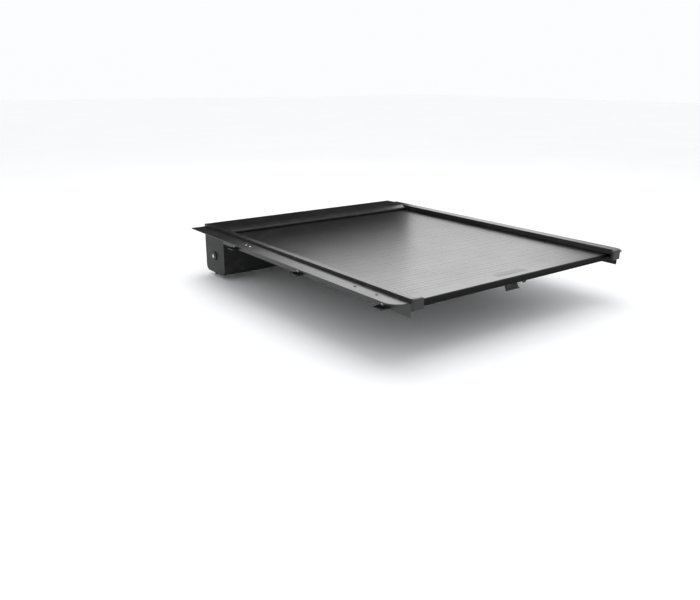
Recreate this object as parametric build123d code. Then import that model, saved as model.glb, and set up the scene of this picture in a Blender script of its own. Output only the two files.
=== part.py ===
"""Retractable slatted tonneau cover for a pickup bed, shown closed.

Millimetres. X runs across the bed, Y towards the cab and Z up. The origin is on the canister's
front face, at the height of the face under the rail flanges that rests on the bed sides.
The cover is symmetric about X = 0, so each right-hand piece is made once and mirrored.
"""
import math
import os

from build123d import *

# ---- overall sizes ---------------------------------------------------------------------
opening_width = 1218.0        # between the raised lips of the two side rails
slat_count = 26
slat_pitch = 52.0
tail_bar_depth = 80.0         # the wide last slat, front to rear
lead_in = 42.0                # length of curtain that stays inside the canister when closed
canister_depth = 206.0        # front face to the nose of the lid

# ---- side rails ------------------------------------------------------------------------
lip_width = 28.0
lip_height = 27.0             # above the curtain's top face
rail_wall = 3.0
flange_width = 76.0
flange_thickness = 5.0
flange_rise = 13.5            # top of the flange above the curtain's top face
flange_corner = 60.0          # plan radius at the rear outer corner
slot_roof = 2.5               # underside of the lip above the curtain
gutter_reach = 25.0           # how far the channel floor runs inboard of the lip
gutter_clearance = 1.5        # between the slats and the gutter's edge
glide_thickness = 3.7         # slide strip on the channel floor
leg_drop = 45.0               # bottom of the rail's clamping leg, below the curtain's top face
rail_overrun = 40.0           # rail past the tail bar's rear edge
seal_width = 20.0
seal_depth = 2.0

# ---- slats and their joint -------------------------------------------------------------
slat_thickness = 10.0
slat_wall = 1.6
slat_skin = 2.0
slat_reach = 12.0             # slat end past the lip's inner face
seam_gap = 0.8
groove_width = 1.2
groove_depth = 0.8
bead_radius = 2.0
socket_wall = 1.4
neck_thickness = 1.5
shoe_inset = 1.0
end_play = 1.0                # nylon shoe's end to the rail's wall

# ---- clearances ------------------------------------------------------------------------
slide_gap = 0.3               # between pieces that move past each other
plug_gap = 0.2                # around a plug in a hollow section
running_gap = 0.05            # radial, round shafts in their bores
lid_side_gap = 0.8

# ---- canister and drum -----------------------------------------------------------------
canister_wall = 2.5
end_plate = 3.0
end_flange = 2.0
end_flange_reach = 20.0
canister_corner = 30.0
lid_sheet = 2.5
lid_slope_length = 40.0
lid_slope_drop = 10.0
lid_nose_bottom = 8.5         # underside of the lid's nose above the curtain
roll_to_curtain = 40.0
roll_to_wall = 12.0
drum_radius = 31.0
drum_wall = 2.0
drum_end_gap = 47.0           # drum tube end to end plate
hub_depth = 30.0
hub_flange = 3.0
hub_flange_radius = 36.0
axle_radius = 10.0
axle_stub = 10.0              # axle past each end plate
boss_radius = 24.0
boss_depth = 6.0
bush_radius = 14.0
spring_wire = 4.0
spring_mean_radius = 19.0
spring_turns = 12
spring_pitch = 14.0
collar_length = 20.0
leader_thickness = 1.5
leader_lead = 3.0             # leader's level edge ahead of the first slat
leader_wrap = 150.0           # degrees of drum that the leader is laid on when closed
spout_radius = 8.0
spout_bore = 6.0
spout_length = 25.0
spout_inset = 37.0

# ---- tail bar and latch ----------------------------------------------------------------
tail_bar_height = 18.0
tail_wall = 2.0
tail_edge_radius = 3.0
rear_seal_thickness = 3.0
rear_seal_bulb = 6.0
rear_seal_bore = 4.0
label_length = 180.0
label_width = 35.0
label_thickness = 1.2
label_pocket = 0.8
label_setback = 52.0          # label centre ahead of the tail bar's rear edge
housing_length = 116.0
housing_depth = 54.0
housing_height = 24.0
housing_wall = 3.0
housing_setback = 12.0
lever_pivot_setback = 52.0
lever_pivot_drop = 27.0
lever_width = 76.0
lever_length = 44.0
lever_sheet = 4.0
lever_lean = 25.0             # degrees that the paddle hangs rearward of straight down
pin_radius = 3.0
lever_barrel = 5.5
bolt_radius = 4.0
bolt_setback = 25.0
bolt_drop = 26.0
bolt_inner_end = 22.0
bolt_end_gap = 7.0            # latched bolt's tip to the rail's leg
guide_width = 15.0
guide_margin = 4.0
striker_depth = 12.0
striker_edge = 8.0            # striker's inboard edge past the lip's inner face

# ---- fasteners and clamps --------------------------------------------------------------
screw_places = (105.0, 235.0, 1041.0, 1079.0, 1384.0, 1520.0)  # ahead of the tail bar's rear edge
screw_radius = 3.0
screw_head_radius = 5.5
screw_head_height = 2.6
clamp_places = (0.1, 0.5, 0.9)  # share of the rail's length behind the canister
clamp_width = 50.0
clamp_sheet = 5.0
clamp_grip = 45.0             # bed side flange and rail seat to clamp jaw
jaw_reach = 36.0
clamp_bolt_radius = 4.0
clamp_head_gap = 1.5          # bolt head to the channel floor above it
hex_across_flats = 13.0
bolt_head_height = 5.3
nut_height = 6.5
cap_length = 14.0
cap_round = 4.0
cap_plug = 15.0

# ---- worked out from the sizes above ---------------------------------------------------
half_opening = opening_width / 2
curtain_z = flange_thickness - flange_rise
channel_drop = slat_thickness + slide_gap + glide_thickness   # channel floor below the curtain's top
gutter_lip_drop = slat_thickness + gutter_clearance
glide_reach = lip_width - max(rail_wall, end_plate) - end_play  # shoe's end past the lip's inner face
hex_corner = hex_across_flats / math.sqrt(3)
clamp_bolt_drop = channel_drop + rail_wall + clamp_head_gap + hex_corner
bolt_engaged = lip_width - rail_wall - bolt_end_gap
lip_top = curtain_z + lip_height
slat_bottom = curtain_z - slat_thickness
mouth_y = -canister_depth
curtain_front = mouth_y + lead_in
tail_front = curtain_front - slat_count * slat_pitch
tail_rear = tail_front - tail_bar_depth
rail_rear = tail_rear - rail_overrun
end_face = half_opening + lip_width           # outer faces of the canister's end plates
plate_face = end_face - end_plate
curtain_length = slat_count * slat_pitch + tail_bar_depth
roll_radius = math.sqrt((drum_radius + leader_thickness) ** 2
                        + curtain_length * (slat_thickness + 1.0) / math.pi)
drum_y = -canister_depth / 2
drum_z = slat_bottom - roll_to_curtain - roll_radius
canister_bottom = drum_z - roll_radius - roll_to_wall - canister_wall
drum_half = end_face - drum_end_gap
socket_bore = bead_radius + slide_gap
socket_radius = socket_bore + socket_wall
joint_setback = socket_radius + 0.6           # joint centre behind a slat's front edge
joint_z = slat_bottom + socket_radius


# ---- helpers ---------------------------------------------------------------------------
def rect(a0, a1, b0, b1):
    """Flat rectangle between two pairs of limits."""
    return Pos((a0 + a1) / 2, (b0 + b1) / 2) * Rectangle(a1 - a0, b1 - b0)


def along_x(section, x0, x1):
    """Run a (y, z) section along X."""
    return extrude(Plane.YZ.offset(x0) * section, x1 - x0)


def along_y(section, y0, y1):
    """Run an (x, z) section along Y."""
    plane = Plane(origin=(0, y1, 0), x_dir=(1, 0, 0), z_dir=(0, -1, 0))
    return extrude(plane * section, y1 - y0)


def block(x0, x1, y0, y1, z0, z1):
    return Pos((x0 + x1) / 2, (y0 + y1) / 2, (z0 + z1) / 2) * Box(x1 - x0, y1 - y0, z1 - z0)


def rod_x(radius, x0, x1, y, z):
    """Round bar along X."""
    centred = (Align.CENTER, Align.CENTER, Align.MIN)
    return Location((x0, y, z), (0, 90, 0)) * Cylinder(radius, x1 - x0, align=centred)


def rod_z(radius, x, y, z0, z1):
    centred = (Align.CENTER, Align.CENTER, Align.MIN)
    return Pos(x, y, z0) * Cylinder(radius, z1 - z0, align=centred)


def rail_rect(u0, u1, v0, v1):
    """Rail rectangle: u is outboard of the lip's inner face, v above the curtain's top face."""
    return rect(half_opening + u0, half_opening + u1, curtain_z + v0, curtain_z + v1)


def rail_bar(u0, u1, v0, v1, y0, y1):
    return along_y(rail_rect(u0, u1, v0, v1), y0, y1)


def left_of(piece):
    return mirror(piece, about=Plane.YZ)


def pair(piece):
    """A right-hand piece and its mirror image, as separate solids of one node."""
    return [*piece.solids(), *left_of(piece).solids()]


def write(name, shapes):
    """One STEP file for a node; a list makes a group of separate solids."""
    shape = Compound(children=list(shapes)) if isinstance(shapes, list) else shapes
    export_step(shape, f"parts/{name}.step")


# ---- side rails ------------------------------------------------------------------------
flange_edge = lip_width + flange_width
flange_bottom = flange_rise - flange_thickness
screw_line = lip_width + flange_width / 2
seal_middle = screw_line + flange_width / 4 - 3.0


def rail():
    """Extruded rail: raised lip, mounting flange, slat channel with gutter, and clamping leg."""
    lip = rail_rect(0, lip_width, slot_roof, lip_height)
    lip = fillet(lip.vertices().sort_by(Axis.Y)[-2:], 2.0)
    hollow = rail_rect(rail_wall, lip_width - rail_wall, slot_roof + rail_wall, lip_height - rail_wall)
    flange = rail_rect(lip_width - rail_wall, flange_edge, flange_bottom, flange_rise)
    flange = fillet(flange.vertices().sort_by(Axis.X)[-2:], 1.5)
    leg = rail_rect(lip_width - rail_wall, lip_width, -leg_drop, slot_roof + rail_wall)
    floor = rail_rect(-gutter_reach, lip_width, -channel_drop - rail_wall, -channel_drop)
    gutter = rail_rect(-gutter_reach, rail_wall - gutter_reach, -channel_drop - rail_wall, -gutter_lip_drop)
    section = lip + flange + leg + floor + gutter - hollow
    body = along_y(section, rail_rear, 0)
    # ahead of the mouth only the lip and the flange go on, over the canister
    body -= rail_bar(-gutter_reach - 1, lip_width, -leg_drop - 1, slot_roof, mouth_y - slide_gap, 1)
    tape = seal_middle - seal_width / 2
    body -= rail_bar(tape, tape + seal_width, flange_bottom, flange_bottom + seal_depth, rail_rear, 0)
    corner_x = half_opening + flange_edge - flange_corner
    corner_y = rail_rear + flange_corner
    corner = rect(corner_x, corner_x + flange_corner + 1, rail_rear - 1, corner_y)
    corner -= Pos(corner_x, corner_y) * Circle(flange_corner)
    body -= Pos(0, 0, -1) * extrude(corner, flange_thickness + 2)
    for place in screw_places:
        body -= rod_z(screw_radius, half_opening + screw_line, tail_rear + place, -1, flange_thickness + 1)
    for y in clamp_ys():
        middle = curtain_z - clamp_bolt_drop
        inner = half_opening + lip_width - rail_wall - 1
        body -= rod_x(clamp_bolt_radius, inner, inner + rail_wall + 2, y, middle)
    return body


def clamp_ys():
    """Where the clamps stand along each rail."""
    first, last = rail_rear, mouth_y
    return [first + share * (last - first) for share in clamp_places]


def lower_glide():
    """Nylon strip on the channel floor that carries the slat ends."""
    return rail_bar(2, glide_reach, -channel_drop, -slat_thickness - slide_gap,
                    rail_rear, curtain_front - shoe_inset)


def upper_glide():
    return rail_bar(glide_reach - 10, glide_reach, slide_gap, slot_roof, rail_rear, curtain_front)


def rail_wiper():
    """Rubber strip under the lip that keeps water and dust off the channel."""
    return rail_bar(1, 7, slide_gap, slot_roof, rail_rear, mouth_y)


def flange_seal():
    """Foam tape set into the flange's underside."""
    low = seal_middle - seal_width / 2
    return rail_bar(low, low + seal_width, flange_bottom, flange_bottom + seal_depth,
                    rail_rear + flange_corner, 0)


def rail_end_cap():
    """Moulded cap on the rear end of the lip and channel, plugged into the lip's hollow."""
    face = rail_rect(-gutter_reach, lip_width, -channel_drop - rail_wall, lip_height)
    cap = along_y(face, rail_rear - cap_length, rail_rear)
    behind = cap.faces().sort_by(Axis.Y)[0]
    cap = fillet(behind.edges(), cap_round)
    inset = rail_wall + plug_gap
    plug = rail_bar(inset, lip_width - inset, slot_roof + inset, lip_height - inset,
                    rail_rear, rail_rear + cap_plug)
    return cap + plug


def deck_screws():
    """Button-head screws in the flange, flush underneath so that it lies flat on the bed side."""
    x = half_opening + screw_line
    screws = []
    for place in screw_places:
        y = tail_rear + place
        head = rod_z(screw_head_radius, x, y, flange_thickness, flange_thickness + screw_head_height)
        head = fillet(head.edges().sort_by(Axis.Z)[-1], screw_head_height * 0.7)
        socket = extrude(Pos(x, y, flange_thickness + 1.2) * RegularPolygon(2.0, 6), 2)
        screws.append(head - socket + rod_z(screw_radius, x, y, 0, flange_thickness))
    return [solid for screw in screws for solid in pair(screw)]


# ---- clamps under the rails ------------------------------------------------------------
def hexagon(x0, x1, y, z):
    """Hexagon bar along X."""
    across = Rot(0, 0, 30) * RegularPolygon(hex_across_flats / 2, 6, major_radius=False)
    return extrude(Plane.YZ.offset(x0) * Pos(y, z) * across, x1 - x0)


def clamps():
    """Brackets, bolts and nuts that grip the bed side's flange against the rail."""
    leg_face = half_opening + lip_width
    head_face = leg_face - rail_wall
    jaw_top = -clamp_grip
    bolt_z = curtain_z - clamp_bolt_drop
    nut_face = leg_face + clamp_sheet
    brackets, bolts, nuts = [], [], []
    for y in clamp_ys():
        low, high = y - clamp_width / 2, y + clamp_width / 2
        plate = block(leg_face, nut_face, low, high, jaw_top - clamp_sheet, bolt_z + 20)
        jaw = block(leg_face, leg_face + jaw_reach, low, high, jaw_top - clamp_sheet, jaw_top)
        bracket = plate + jaw - rod_x(clamp_bolt_radius, head_face, nut_face + 1, y, bolt_z)
        shank = rod_x(clamp_bolt_radius, head_face, nut_face + nut_height + 3, y, bolt_z)
        bolt = shank + hexagon(head_face - bolt_head_height, head_face, y, bolt_z)
        nut = hexagon(nut_face, nut_face + nut_height, y, bolt_z)
        nut -= rod_x(clamp_bolt_radius, nut_face, nut_face + nut_height, y, bolt_z)
        brackets += pair(bracket)
        bolts += pair(bolt)
        nuts += pair(nut)
    return brackets, bolts, nuts


# ---- slats -----------------------------------------------------------------------------
def joint_y(front):
    return front - joint_setback


def body_front(front):
    """Where a slat's hollow body ends, just into its socket."""
    return joint_y(front) - socket_radius + 1.0


def front_joint(front):
    """Socket along a slat's front edge, and the skin that covers it."""
    skin = rect(body_front(front) - 1, front - seam_gap / 2, curtain_z - slat_skin, curtain_z)
    return skin + Pos(joint_y(front), joint_z) * Circle(socket_radius)


def joint_opening(front):
    """Bore and mouth of the socket."""
    half = neck_thickness / 2 + 2 * slide_gap
    mouth = rect(joint_y(front), front, joint_z - half, joint_z + half)
    return mouth + Pos(joint_y(front), joint_z) * Circle(socket_bore)


def rear_bead(rear):
    """Bead and neck along a rear edge, which sit in the socket of the slat behind."""
    neck = rect(joint_y(rear), rear + seam_gap, joint_z - neck_thickness / 2, joint_z + neck_thickness / 2)
    return neck + Pos(joint_y(rear), joint_z) * Circle(bead_radius)


def slat():
    """One hollow slat with its rear edge at Y = 0, and a nylon shoe in each end."""
    rear = seam_gap / 2
    front = body_front(slat_pitch)
    middle = slat_pitch / 2
    cell_low, cell_high = slat_bottom + slat_wall, curtain_z - slat_skin
    cells = [(rear + slat_wall, middle - slat_wall / 2), (middle + slat_wall / 2, front - slat_wall)]
    section = rect(rear, front, slat_bottom, curtain_z)
    section += front_joint(slat_pitch) + rear_bead(0)
    section -= joint_opening(slat_pitch)
    section -= rect(middle - groove_width / 2, middle + groove_width / 2, curtain_z - groove_depth, curtain_z + 1)
    for low, high in cells:
        section -= rect(low, high, cell_low, cell_high)
    end = half_opening + slat_reach
    profile = along_x(section, -end, end)
    shoe = block(end, half_opening + glide_reach, shoe_inset, front, slat_bottom, curtain_z)
    for low, high in cells:
        shoe += block(end - cap_plug, end, low + plug_gap, high - plug_gap, cell_low + plug_gap, cell_high - plug_gap)
    return [*profile.solids(), *pair(shoe)]


# ---- canister --------------------------------------------------------------------------
def canister_section(inset):
    """Outline of the canister below the curtain, inset from its outer face."""
    low = canister_bottom + inset
    outline = rect(mouth_y + inset, -inset, low, low + 2 * canister_corner + 1)
    outline = fillet(outline.vertices().sort_by(Axis.Y)[:2], canister_corner - inset)
    return outline + rect(mouth_y + inset, -inset, low + canister_corner + 1, lip_top)


def canister_body():
    """Folded trough that holds the rolled curtain."""
    trough = along_x(canister_section(0) - canister_section(canister_wall), -plate_face, plate_face)
    trough -= block(-end_face, end_face, mouth_y - 1, mouth_y / 2, curtain_z - channel_drop - 0.5, lip_top + 1)
    trough -= block(-end_face, end_face, mouth_y / 2, 1, lip_top - lid_sheet - slide_gap, lip_top + 1)
    lip_side = block(half_opening - 1, end_face, mouth_y / 2, 1, curtain_z + slot_roof, lip_top)
    trough -= lip_side + left_of(lip_side)
    for x in (-spout_x(), spout_x()):
        trough -= rod_z(spout_bore, x, -spout_inset, canister_bottom - 1, canister_bottom + canister_wall + 1)
    return trough


def canister_end():
    """End plate with the axle's boss, and a flange under the rail's lip that the lid rests on."""
    shelf_top = curtain_z + slot_roof
    side = canister_section(0) & rect(mouth_y, 0, canister_bottom, shelf_top)
    plate = along_x(side, plate_face, end_face)
    plate += rod_x(boss_radius, end_face, end_face + boss_depth, drum_y, drum_z)
    plate += block(half_opening - end_flange_reach, plate_face, curtain_front + 5, -canister_wall,
                   shelf_top - end_flange, shelf_top)
    return plate - rod_x(axle_radius, plate_face - 1, end_face + boss_depth + 1, drum_y, drum_z)


def lid_profile(offset):
    """Top line of the lid from front to nose, moved down by an offset."""
    top = lip_top - offset
    slope_y = mouth_y + lid_slope_length
    nose_z = lip_top - lid_slope_drop - offset
    return [(-0.5, top), (slope_y, top), (mouth_y + 5 + offset, nose_z)]


def canister_lid():
    """Folded lid with a sloping rounded nose over the mouth, and ribs that stand on the end plates."""
    outer, inner = lid_profile(0), lid_profile(lid_sheet)
    nose_low = curtain_z + lid_nose_bottom
    nose_out = [(mouth_y, outer[-1][1] - 5), (mouth_y, nose_low), (mouth_y + lid_sheet, nose_low)]
    nose_in = [(mouth_y + lid_sheet, inner[-1][1] - 4)]
    face = make_face(Polyline(*outer, *nose_out, *nose_in, *inner[::-1], close=True))
    skirt = rect(-canister_wall - 3, -canister_wall - 0.5, lip_top - 16, lip_top - 1)
    half = half_opening - lid_side_gap
    lid = along_x(face + skirt, -half, half)
    rib = block(half - 6, half - 3, mouth_y + lid_slope_length, -canister_wall - 3,
                curtain_z + slot_roof, lip_top - 1)
    return lid + rib + left_of(rib)


def mouth_wiper():
    """Rubber wiper under the lid's nose, just clear of the curtain."""
    half = half_opening - lid_side_gap
    return along_x(rect(mouth_y, mouth_y + lid_sheet, curtain_z + slide_gap, curtain_z + lid_nose_bottom), -half, half)


def spout_x():
    return end_face - spout_inset


def drain_spout():
    """Hose spout under the canister floor."""
    low = canister_bottom - spout_length
    spout = rod_z(spout_radius, spout_x(), -spout_inset, low, canister_bottom)
    spout += rod_z(spout_radius + 5, spout_x(), -spout_inset, canister_bottom - 3, canister_bottom)
    return spout - rod_z(spout_bore, spout_x(), -spout_inset, low - 1, canister_bottom + 1)


# ---- drum, axle and spring -------------------------------------------------------------
def drum_tube():
    tube = rod_x(drum_radius, -drum_half, drum_half, drum_y, drum_z)
    return tube - rod_x(drum_radius - drum_wall, -drum_half - 1, drum_half + 1, drum_y, drum_z)


def drum_hub():
    """Plug in the drum's end that holds the bush."""
    plug = rod_x(drum_radius - drum_wall, drum_half - hub_depth, drum_half, drum_y, drum_z)
    plug += rod_x(hub_flange_radius, drum_half, drum_half + hub_flange, drum_y, drum_z)
    plug += rod_x(spring_seat(), drum_half - hub_depth - collar_length, drum_half - hub_depth, drum_y, drum_z)
    plug -= rod_x(bush_radius, drum_half - hub_depth, drum_half + hub_flange, drum_y, drum_z)
    return plug - rod_x(axle_radius + 1, drum_half - 2 * hub_depth, drum_half, drum_y, drum_z)


def drum_bush():
    """Plain bush that turns on the axle."""
    bush = rod_x(bush_radius, drum_half - hub_depth, drum_half + hub_flange, drum_y, drum_z)
    return bush - rod_x(axle_radius + running_gap, drum_half - hub_depth, drum_half + hub_flange, drum_y, drum_z)


def spring_seat():
    """Radius of the two spigots that the torsion spring is wound over."""
    return spring_mean_radius - spring_wire / 2 - slide_gap


def spring_span():
    """Start and end of the torsion spring along X, at the left end of the drum."""
    start = -(drum_half - hub_depth - spring_wire)
    return start, start + spring_turns * spring_pitch


def axle_shaft():
    """Fixed axle through the drum, with the collar that anchors the spring."""
    reach = end_face + axle_stub
    end = spring_span()[1]
    collar = rod_x(spring_seat(), end - collar_length, end + spring_wire, drum_y, drum_z)
    return rod_x(axle_radius, -reach, reach, drum_y, drum_z) + collar


def torsion_spring():
    """Round-wire spring that balances the curtain."""
    start, end = spring_span()
    path = Location((start, drum_y, drum_z), (0, 90, 0)) * Helix(spring_pitch, end - start, spring_mean_radius)
    wire = Plane(origin=path @ 0, z_dir=path % 0) * Circle(spring_wire / 2)
    return sweep(wire, path, is_frenet=True)


def leader():
    """Flexible web from the drum to the first slat: a straight run that meets the drum on a tangent."""
    start_y, start_z = curtain_front + leader_lead, joint_z
    inside = drum_radius + slide_gap
    outside = inside + leader_thickness
    middle = (inside + outside) / 2
    away = math.hypot(start_y - drum_y, start_z - drum_z)
    run = math.sqrt(away ** 2 - middle ** 2)
    bearing = math.degrees(math.atan2(start_z - drum_z, start_y - drum_y))
    tangent = bearing - math.degrees(math.acos(middle / away))
    ring = Circle(outside) - Circle(inside)
    far = drum_radius * 3
    wedge = [(0, 0)]
    for step in range(4):
        turn = math.radians(tangent - leader_wrap * step / 3)
        wedge.append((far * math.cos(turn), far * math.sin(turn)))
    wrap = Pos(drum_y, drum_z) * (ring & make_face(Polyline(*wedge, close=True)))
    web = Rot(0, 0, tangent) * rect(inside, outside, 0, run)
    edge = Pos(joint_y(curtain_front), joint_z) * Circle(bead_radius)
    edge += rect(joint_y(curtain_front), start_y + leader_thickness / 2,
                 joint_z - leader_thickness / 2, joint_z + leader_thickness / 2)
    section = wrap + Pos(drum_y, drum_z) * web + edge
    half = half_opening - gutter_reach
    return along_x(section, -half, half)


# ---- tail bar and latch ----------------------------------------------------------------
def tail_bar():
    """Wide hollow last slat: full depth between the rails, slat depth inside their channels."""
    front = body_front(tail_front)
    low = curtain_z - tail_bar_height
    slab = rect(tail_rear, front, slat_bottom, curtain_z)
    top = slab.vertices().sort_by(Axis.Y)[-2:].sort_by(Axis.X)[0]
    slab = fillet(top, tail_edge_radius)
    slab += front_joint(tail_front)
    slab -= joint_opening(tail_front)
    slab -= rect(tail_rear + tail_wall, front - tail_wall, slat_bottom + tail_wall, curtain_z - tail_wall)
    end = half_opening + slat_reach
    bar = along_x(slab, -end, end)
    box = rect(tail_rear, front, low, slat_bottom)
    box -= rect(tail_rear + tail_wall, front - tail_wall, low + tail_wall, slat_bottom)
    bar += along_x(box, -tail_inner(), tail_inner())
    guide = block(tail_inner() - guide_width, tail_inner(), bolt_y() - bolt_radius - guide_margin,
                  bolt_y() + bolt_radius + guide_margin, bolt_z() - bolt_radius - guide_margin, low)
    guide -= rod_x(bolt_radius + running_gap, 0, tail_inner() + 1, bolt_y(), bolt_z())
    bar += guide + left_of(guide)
    label = label_box(curtain_z - label_pocket, curtain_z + 1)
    return bar - label


def tail_inner():
    """Half length of the tail bar's deep part, clear of the rails' gutters."""
    return half_opening - gutter_reach - 4.0


def bolt_y():
    return tail_rear + bolt_setback


def bolt_z():
    return curtain_z - bolt_drop


def label_box(z0, z1):
    y = tail_rear + label_setback
    return block(-label_length / 2, label_length / 2, y - label_width / 2, y + label_width / 2, z0, z1)


def label_plate():
    """Blank rounded badge set into the tail bar."""
    plate = label_box(curtain_z - label_pocket, curtain_z - label_pocket + label_thickness)
    return chamfer(plate.faces().sort_by(Axis.Z)[-1].edges(), 0.3)


def tail_bar_shoe():
    end = half_opening + slat_reach
    front = body_front(tail_front)
    shoe = block(end, half_opening + glide_reach, tail_rear + shoe_inset, front, slat_bottom, curtain_z)
    inset = tail_wall + plug_gap
    return shoe + block(end - cap_plug, end, tail_rear + inset, front - inset, slat_bottom + inset, curtain_z - inset)


def rear_seal():
    """Rubber strip down the tail bar's rear face, with a hollow bulb that lands on the tailgate."""
    low = curtain_z - tail_bar_height
    strip = rect(tail_rear - rear_seal_thickness, tail_rear, low, curtain_z - tail_edge_radius)
    centre = Pos(tail_rear + rear_seal_bulb - rear_seal_thickness, low - rear_seal_bulb)
    bulb = centre * Circle(rear_seal_bulb) - centre * Circle(rear_seal_bore)
    web = rect(tail_rear - rear_seal_thickness, tail_rear, low - rear_seal_bulb, low)
    section = strip + web - centre * Circle(rear_seal_bore) + bulb
    return along_x(section, -tail_inner(), tail_inner())


def latch_housing():
    """Box under the tail bar that carries the lever's pin and the inner ends of the bolts."""
    top = curtain_z - tail_bar_height
    rear = tail_rear + housing_setback
    half = housing_length / 2
    box = block(-half, half, rear, rear + housing_depth, top - housing_height, top)
    box -= block(-half + housing_wall, half - housing_wall, rear + housing_wall,
                 rear + housing_depth - housing_wall, top - housing_height - 1, top - housing_wall)
    # the paddle swings through the rear wall
    box -= block(-lever_width / 2 - 1, lever_width / 2 + 1, rear - 1, rear + housing_wall + 1,
                 top - housing_height - 1, bolt_z() - bolt_radius - 2)
    box -= rod_x(bolt_radius + running_gap, -half - 1, half + 1, bolt_y(), bolt_z())
    return box - rod_x(pin_radius, -half - 1, half + 1, pivot_y(), pivot_z())


def pivot_y():
    return tail_rear + lever_pivot_setback


def pivot_z():
    return curtain_z - lever_pivot_drop


def lever_pin():
    half = housing_length / 2
    return rod_x(pin_radius, -half, half, pivot_y(), pivot_z())


def release_lever():
    """Pull paddle on the pin, reached from inside the tailgate."""
    paddle = block(-lever_width / 2, lever_width / 2, -lever_sheet / 2, lever_sheet / 2, -lever_length, 0)
    foot = block(-lever_width / 2, lever_width / 2, -lever_sheet * 2, lever_sheet / 2,
                 -lever_length - lever_sheet, -lever_length)
    paddle += foot
    paddle = fillet(paddle.edges().filter_by(Axis.Y).sort_by(Axis.Z)[:2], lever_sheet * 0.7)
    swung = Location((0, pivot_y(), pivot_z()), (-lever_lean, 0, 0)) * paddle
    barrel = rod_x(lever_barrel, -lever_width / 2, lever_width / 2, pivot_y(), pivot_z())
    bore = rod_x(pin_radius + running_gap, -lever_width, lever_width, pivot_y(), pivot_z())
    return swung + barrel - bore


def latch_bolt():
    """Long round bolt from the latch to the rail, with a chamfered tip."""
    bolt = rod_x(bolt_radius, bolt_inner_end, half_opening + bolt_engaged, bolt_y(), bolt_z())
    return chamfer(bolt.edges().sort_by(Axis.X)[-1], 1.0)


def striker():
    """Steel block under the rail's channel that the latched bolt bears on."""
    rear = bolt_y() + bolt_radius + slide_gap
    return rail_bar(striker_edge, lip_width - rail_wall, -bolt_drop - 10, -channel_drop - rail_wall,
                    rear, rear + striker_depth)


# ---- write every node ------------------------------------------------------------------
def main():
    os.makedirs("parts", exist_ok=True)
    right_rail, right_cap, right_end, right_bolt = rail(), rail_end_cap(), canister_end(), latch_bolt()
    brackets, bolts, nuts = clamps()
    nodes = {
        "rail_right": right_rail,
        "rail_left": left_of(right_rail),
        "rail_end_cap_right": right_cap,
        "rail_end_cap_left": left_of(right_cap),
        "lower_glides": pair(lower_glide()),
        "upper_glides": pair(upper_glide()),
        "rail_wipers": pair(rail_wiper()),
        "flange_seals": pair(flange_seal()),
        "deck_screws": deck_screws(),
        "clamp_brackets": brackets,
        "clamp_bolts": bolts,
        "clamp_nuts": nuts,
        "strikers": pair(striker()),
        "canister_body": canister_body(),
        "canister_end_right": right_end,
        "canister_end_left": left_of(right_end),
        "canister_lid": canister_lid(),
        "mouth_wiper": mouth_wiper(),
        "drain_spouts": pair(drain_spout()),
        "drum_tube": drum_tube(),
        "drum_hubs": pair(drum_hub()),
        "drum_bushes": pair(drum_bush()),
        "axle_shaft": axle_shaft(),
        "torsion_spring": torsion_spring(),
        "leader": leader(),
        "tail_bar": tail_bar(),
        "tail_bar_shoes": pair(tail_bar_shoe()),
        "rear_seal": rear_seal(),
        "label_plate": label_plate(),
        "latch_housing": latch_housing(),
        "lever_pin": lever_pin(),
        "release_lever": release_lever(),
        "latch_bolt_right": right_bolt,
        "latch_bolt_left": left_of(right_bolt),
    }
    one_slat = slat()
    for number in range(slat_count):
        rear = curtain_front - (number + 1) * slat_pitch
        nodes[f"slat_{number + 1:02d}"] = [Pos(0, rear, 0) * piece for piece in one_slat]
    for name, shapes in nodes.items():
        write(name, shapes)
    print(len(nodes), "nodes, overall", opening_width + 2 * flange_edge, "wide,", -rail_rear + cap_length, "long")


main()
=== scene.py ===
# %% [markdown]
# # A roll-up tonneau cover, dressed for its picture
# The cover is a curtain of 26 aluminium slats that slides in two side rails and goes into a
# canister at the cab end of a pickup bed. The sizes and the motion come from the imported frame;
# this file gives every piece its final mesh and finish. It loads the frame first, because each
# later size is read from a frame node's box.

# %% Load the frame
import math

import bmesh
import bpy
from mathutils import Matrix, Vector


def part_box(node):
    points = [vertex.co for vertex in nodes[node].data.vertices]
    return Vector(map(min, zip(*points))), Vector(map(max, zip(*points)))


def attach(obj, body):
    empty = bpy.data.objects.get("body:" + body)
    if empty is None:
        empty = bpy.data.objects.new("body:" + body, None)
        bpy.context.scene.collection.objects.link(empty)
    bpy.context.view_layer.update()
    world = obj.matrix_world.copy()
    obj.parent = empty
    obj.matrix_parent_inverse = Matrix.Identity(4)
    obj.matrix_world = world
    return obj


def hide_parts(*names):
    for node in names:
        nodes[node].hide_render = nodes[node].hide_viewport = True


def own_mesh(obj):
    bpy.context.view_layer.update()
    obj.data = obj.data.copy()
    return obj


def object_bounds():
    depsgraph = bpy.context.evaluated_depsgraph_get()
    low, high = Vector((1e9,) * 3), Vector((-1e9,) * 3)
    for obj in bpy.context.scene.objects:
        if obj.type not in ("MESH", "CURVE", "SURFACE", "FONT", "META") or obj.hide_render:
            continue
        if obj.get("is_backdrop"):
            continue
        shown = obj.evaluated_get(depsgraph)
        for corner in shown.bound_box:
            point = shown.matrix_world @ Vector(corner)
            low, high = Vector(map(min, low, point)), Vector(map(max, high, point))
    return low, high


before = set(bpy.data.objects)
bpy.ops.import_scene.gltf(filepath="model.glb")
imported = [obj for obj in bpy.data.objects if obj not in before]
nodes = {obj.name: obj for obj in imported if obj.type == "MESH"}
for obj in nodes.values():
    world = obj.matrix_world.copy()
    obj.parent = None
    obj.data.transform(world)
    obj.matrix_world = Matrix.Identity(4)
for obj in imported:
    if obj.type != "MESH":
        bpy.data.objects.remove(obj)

cad_low, cad_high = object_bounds()
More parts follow.
